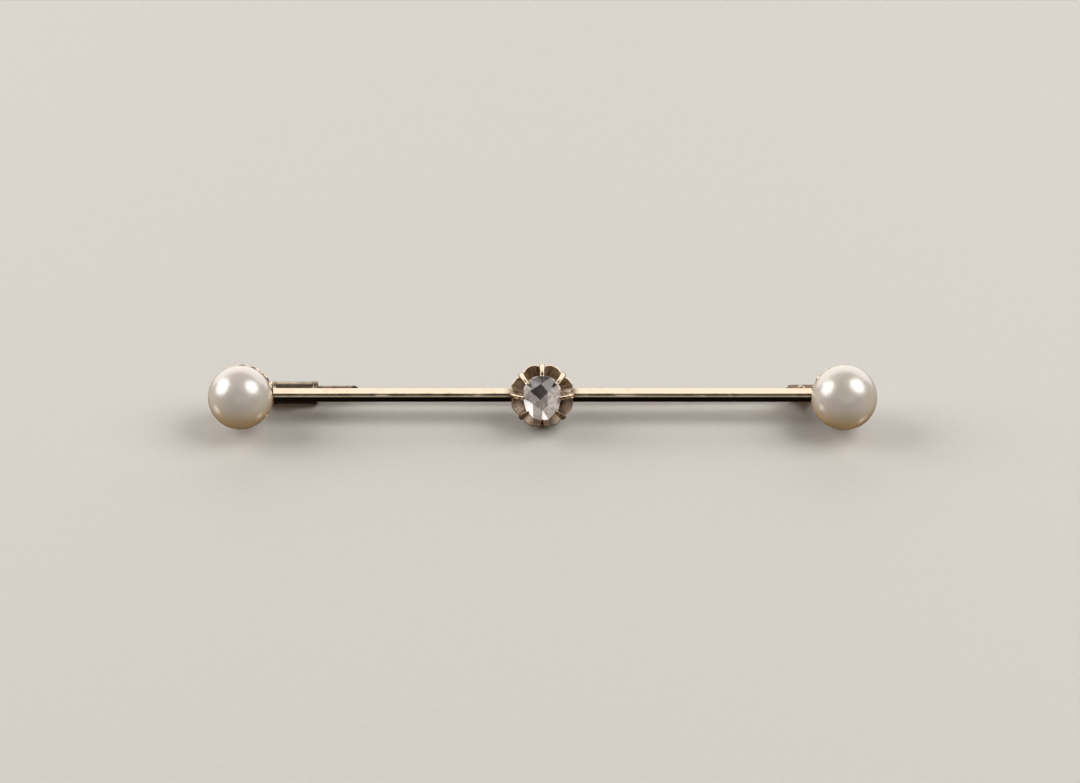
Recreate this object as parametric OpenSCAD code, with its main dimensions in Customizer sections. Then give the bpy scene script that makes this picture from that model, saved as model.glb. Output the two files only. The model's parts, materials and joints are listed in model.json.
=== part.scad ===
// Bar brooch: a gold bar with a pearl in a fluted cup at each end and a rose-cut
// stone in a coronet setting at its middle, with a hinged pin and a tube catch behind.
//
// Everything is drawn face up: X runs along the bar, Y is up across the face and
// Z comes out of the face. at_rest() then leans it back as it lies on a table.
// Depths are measured behind the bar's axis, heights in front of it.

/* [Bar] */
// Distance between the centres of the two pearls
pearl_span = 53.8; // [50:0.1:58]
// Height of the bar across the face
bar_h = 1.26; // [1.1:0.01:1.4]
// How far the bar's narrow front edge stands in front of its axis
bar_front = 0.9; // [0.7:0.01:1]
// How far the bar's flat back lies behind its axis
bar_back = 0.48; // [0.4:0.01:0.6]
// Height of the narrow flat along the front edge
bar_land = 0.26; // [0.15:0.01:0.4]
// Height of the flat back
bar_back_h = 0.96; // [0.8:0.01:1.1]

/* [Pearls and cups] */
// Radius of the left pearl
pearl_r_left = 2.86; // [2.7:0.01:3]
// Radius of the right pearl
pearl_r_right = 2.92; // [2.7:0.01:3]
// How far the pearls' centres stand in front of the bar's axis
pearl_lift = 2.85; // [2.75:0.01:3]
// Height of the cup's scalloped rim in front of the bar's axis
cup_rim = 1.39; // [1.2:0.01:1.5]
// Number of lobes round a cup
cup_lobes = 14; // [12:1:16]
// Radius of both cups' rims, over their lobes
cup_r = 2.86; // [2.75:0.01:2.86]
// Gap between a pearl and the metal under it
pearl_gap = 0.03; // [0.02:0.01:0.06]
// Radius of the peg that a pearl is glued on
peg_r = 0.35; // [0.3:0.01:0.45]
// How deep the peg goes into the pearl
peg_in = 1.4; // [1:0.1:2]

/* [Coronet setting] */
// Outer radius of the open ring at the back
base_r = 2.4; // [2.3:0.01:2.5]
// Inner radius of that ring
base_hole_r = 1.75; // [1.7:0.01:1.9]
// How far the ring's back edge lies behind the bar's axis
base_back = 0.69; // [0.65:0.01:0.75]
// Number of petals, and of claws between them
petals = 8; // [8:1:8]
// Distance of a petal's centre from the middle
petal_out = 1.76; // [1.7:0.01:1.8]
// Outer radius of a petal's rounded back
petal_r = 1.14; // [1.1:0.01:1.2]
// Thickness of a petal at the middle of its rim
petal_wall = 0.17; // [0.12:0.01:0.22]
// Height of the petals' rim in front of the bar's axis
petal_rim = 0.95; // [0.85:0.01:1.1]
// Width of a claw at its root, outside the petals
claw_root_w = 0.56; // [0.45:0.01:0.65]
// Width of a claw at its tip, over the stone
claw_tip_w = 0.26; // [0.2:0.01:0.35]

/* [Stone] */
// Width of the stone along the bar
stone_w = 3.4; // [3.2:0.01:3.6]
// Height of the stone across the face
stone_h = 4.06; // [3.9:0.01:4.2]
// Height of its flat back in front of the bar's axis
stone_back = 3.2; // [3.1:0.01:3.3]
// Thickness of its girdle
girdle = 0.1; // [0.08:0.01:0.15]
// Height of its dome over the girdle
dome = 1.25; // [1.1:0.01:1.4]
// Gap between the stone and the claws
stone_gap = 0.03; // [0.02:0.01:0.05]

/* [Pin and hinge] */
// Radius of the pin stem
stem_r = 0.38; // [0.34:0.01:0.4]
// Depth of the stem's straight part behind the bar's axis
stem_back = 2.56; // [2.54:0.01:2.6]
// Place along the bar where the stem begins to bend back to the hinge
bend_x = 6; // [4:0.5:8]
// Radius of that long bend
bend_r = 400; // [380:10:420]
// Place along the bar where the stem begins to taper
taper_x = -16.5; // [-16.5:0.1:-16]
// Place along the bar of the stem's point
tip_x = -19.7; // [-19.9:0.1:-19]
// Radius of the rounded point
tip_r = 0.1; // [0.06:0.01:0.15]
// Place of the hinge's axis along the bar
hinge_x = 23.5; // [23.3:0.1:23.7]
// Length of the hinge's ears along the bar
ear_length = 2.55; // [2.4:0.05:2.7]
// Half the hinge's width, to the outside of an ear
ear_out = 0.65; // [0.63:0.01:0.7]
// Half the width of the slot between the ears
slot_half = 0.43; // [0.42:0.01:0.45]
// Half the thickness of the stem's flat eye
eye_half = 0.4; // [0.39:0.01:0.41]
// Radius of the stem's flat eye
eye_r = 0.72; // [0.68:0.01:0.74]
// Radius of the rivet
rivet_r = 0.25; // [0.22:0.01:0.28]

/* [Tube catch] */
// Depth of the catch's axis behind the bar's axis
catch_back = 2.68; // [2.66:0.01:2.72]
// Place along the bar of the fixed tube's outer end
tube_out = -24.4; // [-24.6:0.1:-24.2]
// Place along the bar of the fixed tube's inner end
tube_in = -20.4; // [-20.6:0.1:-20.2]
// Outer radius of the fixed tube
tube_r = 1.03; // [0.98:0.01:1.05]
// Radius of the raised lips at the fixed tube's ends
lip_r = 1.08; // [1.06:0.01:1.1]
// Outer radius of the sliding tube
slide_r = 0.64; // [0.62:0.01:0.66]
// Bore radius of the sliding tube
slide_bore = 0.54; // [0.54:0.01:0.56]
// Place along the bar of the sliding tube's slanted end
slide_in = -16.6; // [-16.8:0.1:-16.6]
// How far that end slants, in degrees from square
slide_slant = 38; // [30:1:45]
// Radius of the knob that the sliding tube is pulled by
knob_r = 1.05; // [0.95:0.01:1.05]
// Length of that knob
knob_length = 1.6; // [1.2:0.1:1.8]

/* [Hidden] */
$fn = 64;

gold = "#E6C6A2";
nacre = "#EFE6DA";
crystal = "#C9C6C8";
big = 20; // longer than any one feature, for cutting
sink = 0.3; // how deep the feet of the catch and the hinge run into the bar
running_gap = 0.04; // between the sliding tube and the fixed one
knob_gap = 0.05; // between the knob and the fixed tube
rivet_gap = 0.03; // between the rivet and the stem's eye
ear_gap = 0.02; // between the rivet and the ears
slot_gap = 0.12; // between the stem's eye and the bottom of the slot

pearl_x = pearl_span / 2;
bar_end = pearl_x + 0.6;
bar_widest = 0.12; // height in front of its axis at which the bar is at its tallest
hinge_sweep = asin((hinge_x - bend_x) / bend_r);
hinge_back = stem_back + bend_r * (1 - cos(hinge_sweep)); // the stem's bend ends on the hinge's axis

// How the brooch lies: on the back ring's lower edge and on the catch tube's lips
ring_to_tube = catch_back - base_back;
rest_tilt = atan2(base_r, ring_to_tube) - asin(lip_r / norm([base_r, ring_to_tube]));
rest_z = base_r * cos(rest_tilt) + base_back * sin(rest_tilt);
// The hinge's ears reach back just as far as the same surface
ear_back = (rest_z - ear_out * cos(rest_tilt)) / sin(rest_tilt);
front_y = pearl_lift * cos(rest_tilt) + pearl_r_right;
back_y = ear_back * cos(rest_tilt) + ear_out * sin(rest_tilt);
rest_y = (front_y - back_y) / 2;
rest_x = (pearl_r_left - pearl_r_right) / 2;

// Half a cup's section without its lobes: [radius, height]
cup_section = [[0, -0.6], [1.1, -0.6], [1.6, -0.4], [1.95, 0.1], [2.2, 0.7], [2.38, cup_rim], [0, cup_rim]];
lobe_out = 1.6; // distance of a lobe's axis from the cup's
lobe_foot = -0.1; // height at which the lobes begin
lobe_r_foot = 0.37;

// A flute is part of a slanting cone
flute_half = 14.5; // half the angle of the cone's point
flute_start = -0.26; // distance of that point from the middle, on the petal's side
flute_foot = -0.02; // height at which a flute's middle meets the ring's hole
flute_slope = atan2(petal_out + petal_r - petal_wall - base_hole_r, petal_rim - flute_foot); // of its middle line

// A claw's outline from the side, up its outer edge to the petals' notch: [radius, height]
claw_outer = [[base_r - 0.06, -0.3], [2.6, 0.5], [2.88, 1.1], [2.88, 1.5], [2.57, 2.43]];
claw_inner = [[2.02, 2.1], [2.14, 0.9], [base_r - 0.28, 0.2], [base_r - 0.28, -0.3]];
bezel_lip = 0.16; // how far the ledge under the stone reaches in
bezel_thick = 0.22; // thickness of that ledge
ring_top = 0.05; // height of the open ring's upper edge

// The stone's edge is an ellipse
function edge_r(a) = 1 / norm([cos(a) / (stone_w / 2), sin(a) / (stone_h / 2)]);

module at_rest() {
    translate([rest_x, rest_y, rest_z]) rotate([90 - rest_tilt, 0, 0]) children();
}

// A flat outline drawn as [height across the face, depth], drawn out along the bar from x0 to x1
module along_bar(x0, x1) {
    translate([x0, 0, 0]) rotate([90, 0, 90]) linear_extrude(x1 - x0) children();
}

// A flat outline drawn as [along, depth], drawn out across the face
module across_face(width) {
    rotate([90, 0, 0]) linear_extrude(width, center = true) children();
}

module round_along(x0, x1, r, depth) {
    translate([x0, 0, -depth]) rotate([0, 90, 0]) cylinder(r = r, h = x1 - x0);
}

// The bar: a tall section whose slopes meet a narrow flat in front
module bar() {
    along_bar(-bar_end, bar_end) polygon([
        [-bar_back_h / 2, -bar_back],
        [bar_back_h / 2, -bar_back],
        [bar_h / 2, bar_widest],
        [bar_land / 2, bar_front],
        [-bar_land / 2, bar_front],
        [-bar_h / 2, bar_widest]
    ]);
}

// A fluted cup round the pearl's axis: each lobe widens up to the rim, close to the pearl's outline
module cup_outside() {
    spare = 0.2; // past the rim, where the cup is cut level
    lobe_h = cup_rim - lobe_foot;
    lobe_r_end = lobe_r_foot + (cup_r - lobe_out - lobe_r_foot) * (lobe_h + spare) / lobe_h;
    rotate_extrude() polygon(cup_section);
    for (i = [0 : cup_lobes - 1])
        rotate([0, 0, (i + 0.5) * 360 / cup_lobes])
            translate([lobe_out, 0, lobe_foot]) cylinder(r1 = lobe_r_foot, r2 = lobe_r_end, h = lobe_h + spare);
}

module cup(pearl_r) {
    difference() {
        cup_outside();
        translate([0, 0, cup_rim]) cylinder(r = big, h = big);
        translate([0, 0, pearl_lift]) sphere(r = pearl_r + pearl_gap);
    }
    translate([0, 0, -bar_back]) cylinder(r = peg_r, h = bar_back + pearl_lift - pearl_r + peg_in);
}

// The petals are rounded behind, side by side round the ring
module coronet_outside() {
    difference() {
        for (i = [0 : petals - 1])
            rotate([0, 0, (i + 0.5) * 360 / petals])
                translate([petal_out, 0, petal_rim]) rotate([70, 0, 0]) sphere(r = petal_r); // poles beside the neighbours
        translate([0, 0, petal_rim]) cylinder(r = big, h = big);
    }
    translate([0, 0, -base_back]) cylinder(r = base_r, h = base_back + ring_top);
}

// Inside, each petal is a straight flute, cut on a slant from its rim down to the ring's hole
module coronet_inside() {
    for (i = [0 : petals - 1])
        rotate([0, 0, (i + 0.5) * 360 / petals])
            translate([flute_start, 0, flute_foot - (base_hole_r - flute_start) / tan(flute_slope)])
                rotate([0, flute_slope - flute_half, 0]) cylinder(r1 = 0, r2 = big * tan(flute_half), h = big);
    translate([0, 0, -base_back - 1]) cylinder(r = base_hole_r, h = big);
}

// A claw: a fin that leans in from the petals' notch, narrows and bends over the stone's edge
module claw(a) {
    seat = edge_r(a) + stone_gap;
    ledge = seat - bezel_lip;
    under = stone_back - stone_gap;
    over = stone_back + girdle + stone_gap;
    tip = [
        [seat + 0.3, over + 0.07],
        [seat + 0.1, over + 0.37],
        [seat - 0.14, over + 0.53],
        [seat - 0.24, over + 0.36],
        [seat, over],
        [seat, under],
        [ledge, under],
        [ledge, under - bezel_thick]
    ];
    tip_at = 1.4; // distances from the middle at which the claw's two widths hold
    root_at = 2.88;
    rotate([0, 0, a]) intersection() {
        across_face(claw_root_w + 0.1) polygon(concat(claw_outer, tip, claw_inner));
        translate([0, 0, -1]) linear_extrude(big) polygon([
            [tip_at, -claw_tip_w / 2],
            [root_at, -claw_root_w / 2],
            [root_at, claw_root_w / 2],
            [tip_at, claw_tip_w / 2],
            [tip_at - 0.4, claw_tip_w / 2],
            [tip_at - 0.4, -claw_tip_w / 2]
        ]);
    }
}

// The fixed tube of the catch and the waisted foot that joins it to the bar
module catch_body() {
    foot_length = 3.1;
    foot_w = 0.9;
    waist = -1.2; // depth at which the foot is narrowest
    inner_lip = 0.35;
    outer_lip = 0.25;
    difference() {
        union() {
            round_along(tube_out, tube_in, tube_r, catch_back);
            round_along(tube_in - inner_lip, tube_in, lip_r, catch_back);
            round_along(tube_out, tube_out + outer_lip, lip_r, catch_back);
            across_face(foot_w) difference() {
                translate([tube_out, -catch_back]) square([foot_length, catch_back - sink]);
                translate([tube_out + foot_length + 0.15, waist]) circle(r = 0.62);
                translate([tube_out - 0.35, waist]) circle(r = 0.55);
            }
        }
        round_along(tube_out - 1, tube_in + 1, slide_r + running_gap, catch_back);
    }
}

// The hinge's two ears on their spreading foot, with the small arch next to the bar
module hinge_body() {
    corner_r = 0.7; // round the ears' two far corners
    left = hinge_x - ear_length / 2 + 0.15;
    right = left + ear_length;
    arch_x = left + 1;
    arch_r = 0.36;
    arch_top = bar_back + 0.6;
    difference() {
        across_face(2 * ear_out) difference() {
            union() {
                for (x = [left + corner_r, right - corner_r]) translate([x, -ear_back + corner_r]) circle(r = corner_r);
                polygon([
                    [left + corner_r, -ear_back],
                    [right - corner_r, -ear_back],
                    [right, -ear_back + corner_r],
                    [right + 0.1, -bar_back - 1.3],
                    [right + 0.6, -bar_back - 0.3],
                    [right + 0.6, -sink],
                    [left - 0.4, -sink],
                    [left - 0.4, -bar_back - 0.06],
                    [left - 0.12, -bar_back - 0.35],
                    [left, -bar_back - 0.9],
                    [left, -ear_back + corner_r]
                ]);
            }
            translate([arch_x, -arch_top]) circle(r = arch_r);
            translate([arch_x - arch_r, -arch_top]) square([2 * arch_r, arch_top - bar_back]);
        }
        translate([hinge_x - big / 2, -slot_half, -hinge_back - big])
            cube([big, 2 * slot_half, big + eye_r + slot_gap]);
        translate([hinge_x, 0, -hinge_back]) rotate([90, 0, 0])
            cylinder(r = rivet_r + ear_gap, h = big, center = true);
    }
}

// All the soldered metal is one solid
module frame() {
    color(gold) at_rest() {
        difference() {
            union() {
                bar();
                coronet_outside();
            }
            coronet_inside();
            translate([-pearl_x, 0, pearl_lift]) sphere(r = pearl_r_left + pearl_gap);
            translate([pearl_x, 0, pearl_lift]) sphere(r = pearl_r_right + pearl_gap);
        }
        for (i = [0 : petals - 1]) claw(i * 360 / petals);
        translate([-pearl_x, 0, 0]) cup(pearl_r_left);
        translate([pearl_x, 0, 0]) cup(pearl_r_right);
        catch_body();
        hinge_body();
    }
}

// A pearl, drilled halfway for its peg
module pearl(x, r) {
    glue_space = 0.1; // past the peg's end
    color(nacre) at_rest() translate([x, 0, pearl_lift]) difference() {
        sphere(r = r);
        translate([0, 0, -r - 1]) cylinder(r = peg_r + pearl_gap, h = 1 + peg_in + glue_space);
    }
}

// A rose cut: six facets round the point, a ring of triangles below them, and a flat back
module stone() {
    sides = 12;
    star_share = 0.56; // the star's corners, as a share of the edge's radius
    star_rise = 0.66; // and how far up the dome they lie
    star_z = stone_back + girdle + star_rise * dome;
    point = [-0.14, 0.06, stone_back + girdle + dome];
    function oval(a) = [stone_w / 2 * cos(a), stone_h / 2 * sin(a)];
    function at_height(p, z) = [p.x, p.y, z];
    star = [for (i = [0 : 5]) at_height(star_share * oval(i * 60 + 90), star_z)];
    top = [for (i = [0 : sides - 1]) at_height(oval(i * 30 + 90), stone_back + girdle)];
    low = [for (i = [0 : sides - 1]) at_height(oval(i * 30 + 90), stone_back)];
    // The first number of each ring of points in the list: point, star, top, low
    s = 1;
    t = 7;
    b = t + sides;
    faces = concat(
        [for (i = [0 : 5]) [0, s + (i + 1) % 6, s + i]],
        [for (i = [0 : 5]) [s + i, t + 2 * i + 1, t + 2 * i]],
        [for (i = [0 : 5]) [s + i, s + (i + 1) % 6, t + 2 * i + 1]],
        [for (i = [0 : 5]) [s + (i + 1) % 6, t + (2 * i + 2) % sides, t + 2 * i + 1]],
        [for (i = [0 : sides - 1]) [t + i, t + (i + 1) % sides, b + (i + 1) % sides, b + i]],
        [[for (i = [0 : sides - 1]) b + i]]
    );
    color(crystal) at_rest() polyhedron(points = concat([point], star, top, low), faces = faces);
}

// The stem bends back to the hinge on a long arc that ends at the rivet
module pin_stem() {
    color(gold) at_rest() difference() {
        union() {
            round_along(taper_x, bend_x, stem_r, stem_back);
            translate([taper_x, 0, -stem_back]) rotate([0, -90, 0])
                cylinder(r1 = stem_r, r2 = tip_r, h = taper_x - tip_x - tip_r);
            translate([tip_x + tip_r, 0, -stem_back]) sphere(r = tip_r);
            translate([bend_x, 0, -stem_back - bend_r]) rotate([90, 0, 0]) mirror([1, 0, 0]) rotate([0, 0, 90])
                rotate_extrude(angle = hinge_sweep) translate([bend_r, 0]) circle(r = stem_r);
            translate([hinge_x, 0, -hinge_back]) rotate([90, 0, 0])
                cylinder(r = eye_r, h = 2 * eye_half, center = true);
        }
        translate([hinge_x, 0, -hinge_back]) rotate([90, 0, 0])
            cylinder(r = rivet_r + rivet_gap, h = big, center = true);
    }
}

// The rivet, with its ends slightly rounded over
module hinge_rivet() {
    end = ear_out + 0.05; // it stands out a little from the ears
    over = 0.07; // size of the rounding
    half = [[0, end], [rivet_r - over, end], [rivet_r, end - over]];
    color(gold) at_rest() translate([hinge_x, 0, -hinge_back]) rotate([90, 0, 0]) rotate_extrude()
        polygon(concat(half, [for (i = [2 : -1 : 0]) [half[i].x, -half[i].y]]));
}

// The sliding tube that covers the pin's point, with its pull knob at the outer end
module catch_slide() {
    knob_x = tube_out - knob_gap;
    color(gold) at_rest() difference() {
        union() {
            round_along(knob_x - 0.5, slide_in, slide_r, catch_back);
            round_along(knob_x - knob_length, knob_x, knob_r, catch_back);
        }
        round_along(knob_x, slide_in + 1, slide_bore, catch_back);
        translate([slide_in, 0, -catch_back - slide_r]) rotate([0, -slide_slant, 0])
            translate([0, -big / 2, -1]) cube(big);
    }
}

frame();
pearl(-pearl_x, pearl_r_left);  // pearl_left
pearl(pearl_x, pearl_r_right);  // pearl_right
stone();
pin_stem();
hinge_rivet();
catch_slide();
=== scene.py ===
import json
import math

import bmesh
import bpy
from mathutils import Matrix, Vector, noise


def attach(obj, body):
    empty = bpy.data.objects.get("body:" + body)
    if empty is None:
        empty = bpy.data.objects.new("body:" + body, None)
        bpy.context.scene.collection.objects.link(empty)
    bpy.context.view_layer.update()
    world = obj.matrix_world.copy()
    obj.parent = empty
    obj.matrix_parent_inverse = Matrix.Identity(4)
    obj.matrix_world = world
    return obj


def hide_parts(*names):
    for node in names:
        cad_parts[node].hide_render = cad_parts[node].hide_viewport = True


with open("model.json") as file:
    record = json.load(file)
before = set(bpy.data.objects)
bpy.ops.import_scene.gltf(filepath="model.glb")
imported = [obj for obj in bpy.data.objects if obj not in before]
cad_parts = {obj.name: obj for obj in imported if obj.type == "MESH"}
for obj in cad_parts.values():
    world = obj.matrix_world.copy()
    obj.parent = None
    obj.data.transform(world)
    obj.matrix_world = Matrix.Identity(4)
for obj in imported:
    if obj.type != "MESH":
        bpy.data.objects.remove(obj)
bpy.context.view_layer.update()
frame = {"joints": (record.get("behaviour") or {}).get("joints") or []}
print("brooch loaded")

# All the pieces are drawn in mm, face up: x along the bar, y up across the face, z out of the face,
# with z 0 on the bar's middle line. The hinge's joint tells how the brooch leans back and where it lies.
rivetMiddle = (23.5, 0, -2.943)
joint = next(j for j in frame["joints"] if j["name"] == "pin_hinge")
lean = math.atan2(-joint["axis"][1], -joint["axis"][2])
toRow = (Matrix.Translation(joint["pos_m"]) @ Matrix.Rotation(math.pi / 2 - lean, 4, "X")
         @ Matrix.Scale(0.001, 4) @ Matrix.Translation(-Vector(rivetMiddle)))
toFace = toRow.inverted()


def linearColour(code):
    parts = [int(code[i:i + 2], 16) / 255 for i in (1, 3, 5)]
    return tuple(p / 12.92 if p <= 0.04045 else ((p + 0.055) / 1.055) ** 2.4 for p in parts) + (1.0,)


def addNode(tree, kind, settings=None, inputs=None):
    # inputs are plain values, or (node, output) to link from
    node = tree.nodes.new("ShaderNode" + kind)
    for key, value in (settings or {}).items():
        setattr(node, key, value)
    for key, value in (inputs or {}).items():
        if isinstance(value, tuple) and isinstance(value[0], bpy.types.Node):
            tree.links.new(value[0].outputs[value[1]], node.inputs[key])
        else:
            node.inputs[key].default_value = value
    return node


def newMaterial(name, surface):
    material = bpy.data.materials.new(name)
    material.use_nodes = True
    shader = material.node_tree.nodes["Principled BSDF"]
    for key, value in surface.items():
        shader.inputs[key].default_value = value
    return material, material.node_tree, shader


def newMesh(name, points, faces):
    mesh = bpy.data.meshes.new(name)
    bm = bmesh.new()
    made = [bm.verts.new(p) for p in points]
    for face in faces:
        corners = [made[i] for i in dict.fromkeys(face)]
        if len(corners) > 2:
            bm.faces.new(corners)
    bmesh.ops.remove_doubles(bm, verts=bm.verts, dist=2e-7)
    bmesh.ops.dissolve_degenerate(bm, edges=bm.edges, dist=1e-8)
    bmesh.ops.recalc_face_normals(bm, faces=bm.faces)
    bm.to_mesh(mesh)
    bm.free()
    return mesh


def newObject(name, data):
    thing = bpy.data.objects.new(name, data)
    bpy.context.collection.objects.link(thing)
    return thing


def addPiece(name, verts, faces, material, body, node, slotName, sharpAngle=38, grime=None, bevel=None):
    mesh = newMesh(name, [toRow @ Vector(v) for v in verts], faces)
    piece = newObject(name, mesh)
    if bevel:
        modifier = piece.modifiers.new("edges", "BEVEL")
        modifier.width = bevel / 1000
        modifier.segments = 3
        modifier.limit_method = "ANGLE"
        modifier.angle_limit = math.radians(35)
        bpy.context.view_layer.update()
        rounded = piece.evaluated_get(bpy.context.evaluated_depsgraph_get())
        mesh = bpy.data.meshes.new_from_object(rounded)
        mesh.name = name
        piece.data = mesh
        piece.modifiers.clear()
    mesh.polygons.foreach_set("use_smooth", [True] * len(mesh.polygons))
    mesh.set_sharp_from_angle(angle=math.radians(sharpAngle))
    # attribute that darkens the metal: painted shade in corners, recesses, under things and where parts
    # meet, with some dirt, tarnish and wear
    marks = mesh.attributes.new("grime", "FLOAT", "POINT")
    marks.data.foreach_set("value", [grime(toFace @ v.co) if grime else 0.0 for v in mesh.vertices])
    mesh.materials.append(material)
    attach(piece, body)
    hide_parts(node)
    return piece


def addGoldPiece(name, verts, faces, body="frame_body", node="frame", **finish):
    # most of the metal is soldered to the frame
    return addPiece(name, verts, faces, gold, body, node, "gold", **finish)


def gridFaces(rows, columns, closed=False):
    faces = []
    for r in range(rows if closed else rows - 1):
        for c in range(columns):
            low, high = r * columns, (r + 1) % rows * columns
            faces.append((low + c, low + (c + 1) % columns, high + (c + 1) % columns, high + c))
    return faces


def byRow(columns):
    # a list of columns of points, turned into one list that runs row by row
    return [point for row in zip(*columns) for point in row]


def endCaps(rows, columns):
    return [tuple(range(columns))[::-1], tuple(range((rows - 1) * columns, rows * columns))]


def ring(radius, columns):
    turns = [2 * math.pi * c / columns for c in range(columns)]
    return [(radius * math.cos(a), radius * math.sin(a)) for a in turns]


def spin(profile, place, columns, closed=False):
    # profile is a list of (along, radius); place turns along and the two cross coordinates into a point
    verts = [place(along, a, b) for along, radius in profile for a, b in ring(radius, columns)]
    return verts, gridFaces(len(profile), columns, closed)


def roundCorners(outline, steps=4):
    # outline is a list of (a, b, corner radius)
    points, n = [], len(outline)
    for i, (a, b, radius) in enumerate(outline):
        here = Vector((a, b))
        back, on = ((Vector(outline[k % n][:2]) - here).normalized() for k in (i - 1, i + 1))
        if radius <= 0:
            points.append(tuple(here))
            continue
        half = back.angle(on) / 2
        centre = here + (back + on).normalized() * radius / math.sin(half)
        first, last = (here + way * radius / math.tan(half) - centre for way in (back, on))
        for k in range(steps + 1):
            points.append(tuple(centre + first.slerp(last, k / steps).normalized() * radius))
    return points


def arc(centre, radius, start, end, steps):
    points = []
    for k in range(steps + 1):
        angle = math.radians(start + (end - start) * k / steps)
        points.append((centre[0] + radius * math.cos(angle), centre[1] + radius * math.sin(angle)))
    return points


def prism(outline, low, high):
    # a flat outline of (x, depth) drawn out across the face
    n = len(outline)
    verts = [(x, y, z) for y in (low, high) for x, z in outline]
    faces = [(i, (i + 1) % n, n + (i + 1) % n, n + i) for i in range(n)]
    return verts, faces + [tuple(range(n))[::-1], tuple(range(n, 2 * n))]


def smooth(low, high, value):
    t = min(1.0, max(0.0, (value - low) / (high - low)))
    return t * t * (3 - 2 * t)


def softMax(a, b, width):
    h = max(width - abs(a - b), 0.0) / width
    return max(a, b) + h * h * width / 4


def wobble(x, y, z):
    return noise.noise(Vector((x, y, z)))


# camera, lights, air and floor

# The photo looks down at the brooch from its front. Distances are in metres.
studio = {
    "elevation": 34.4,
    "distance": 0.27,
    "lens": 100,
    "lookAt": (-0.000225, 0.00111, 0.00267),
    "floorColour": "#DFDCD7",
    "floorFleck": "#DAD7D2",
    "floorRings": (0.0, 0.3, 1.2, 1.5),
    # the air round the table by height, from straight below to a small white patch straight above
    "air": ((0.0, "#0B0907"), (0.22, "#685845"), (0.3, "#8A7861"), (0.47, "#6A6056"), (0.53, "#45413D"),
            (1.0, "#403D3A"), (1.0, "#FFFFFF")),
    "lights": {
        # name: (direction to it, distance, width, height, brightness, colour, shape)
        "softboxLeft": ((-0.85, 0.08, 0.55), 0.5, 0.44, 0.42, 3.5, "#FFFDFA", "ELLIPSE"),
        "softboxRight": ((0.66, -0.07, 0.76), 0.5, 0.42, 0.44, 3.5, "#FFFDFA", "ELLIPSE"),
        "backWall": ((0.0, 0.961, 0.276), 0.6, 1.6, 0.64, 1.2, "#FFFCF8", "RECTANGLE"),
        "frontCard": ((0.1, -0.92, 0.42), 0.6, 0.6, 0.2, 0.36, "#FFFFFF", "RECTANGLE"),
        # the softboxes again as the photo's glass mirrors them: under the floor, so that only polished
        # surfaces show them
        "mirroredLeft": ((-0.86, -0.06, -0.46), 0.5, 0.17, 0.14, 1.9, "#FFF6E8", "ELLIPSE"),
        "mirroredRight": ((0.6, 0.0, -0.76), 0.5, 0.13, 0.14, 1.7, "#FFF6E8", "ELLIPSE"),
    },
}
scene = bpy.context.scene


def buildCamera():
    rise = math.radians(studio["elevation"])
    back = Vector((0, -math.cos(rise), math.sin(rise)))
    camera = newObject("camera", bpy.data.cameras.new("camera"))
    camera.data.lens = studio["lens"]
    camera.data.sensor_width = 36
    camera.data.sensor_fit = "HORIZONTAL"
    camera.data.clip_start = 0.01
    camera.data.clip_end = 10
    camera.location = Vector(studio["lookAt"]) + back * studio["distance"]
    camera.rotation_euler = (-back).to_track_quat("-Z", "Y").to_euler()
    scene.camera = camera


def buildLights():
    for name, (direction, distance, width, height, brightness, colour, shape) in studio["lights"].items():
        light = bpy.data.lights.new(name, "AREA")
        light.shape = shape
        light.size = width
        light.size_y = height
        light.energy = brightness * math.pi * width * height * (math.pi / 4 if shape == "ELLIPSE" else 1)
        light.color = linearColour(colour)[:3]
        lamp = newObject(name, light)
        way = Vector(direction).normalized()
        lamp.location = Vector(studio["lookAt"]) + way * distance
        lamp.rotation_euler = way.to_track_quat("Z", "Y").to_euler()
        lamp.visible_camera = False


def buildAir():
    world = bpy.data.worlds.new("studioAir")
    scene.world = world
    world.use_nodes = True
    tree = world.node_tree
    place = addNode(tree, "TexCoord")
    height = addNode(tree, "SeparateXYZ", inputs={"Vector": (place, "Generated")})
    upward = addNode(tree, "MapRange", inputs={
        "Value": (height, "Z"), "From Min": -1.0, "From Max": 1.0})
    air = addNode(tree, "ValToRGB", inputs={"Fac": (upward, "Result")})
    stops = air.color_ramp.elements
    stops.remove(stops[1])
    stops[0].color = linearColour(studio["air"][0][1])
    for where, colour in studio["air"][1:]:
        stops.new(where).color = linearColour(colour)
    tree.links.new(air.outputs["Color"], tree.nodes["Background"].inputs["Color"])


def buildFloor():
    # a wide round sheet, so that it reads as a table top from low views
    columns = 96
    points = [(a, b, 0) for radius in studio["floorRings"] for a, b in ring(radius, columns)]
    floor = newObject("floor", newMesh("floor", points, gridFaces(len(studio["floorRings"]), columns)))
    # painted board, satin: it shades softly and mirrors a little at low angles
    paint, tree, shader = newMaterial("satinPaintedBoard", {"Roughness": 0.5, "Specular IOR Level": 0.2})
    place = addNode(tree, "TexCoord")
    grain = addNode(tree, "TexNoise", inputs={
        "Vector": (place, "Object"), "Scale": 1500.0, "Detail": 3.0})
    tone = addNode(tree, "Mix", {"data_type": "RGBA"}, {
        0: (grain, "Fac"), 6: linearColour(studio["floorColour"]), 7: linearColour(studio["floorFleck"])})
    tree.links.new(tone.outputs[2], shader.inputs["Base Color"])
    floor.data.materials.append(paint)
    floor.visible_glossy = False   # the photo's polished metal has black glass under it to mirror


buildCamera()
buildLights()
buildAir()
buildFloor()
scene.view_settings.view_transform = "Standard"
print("studio set")


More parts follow.
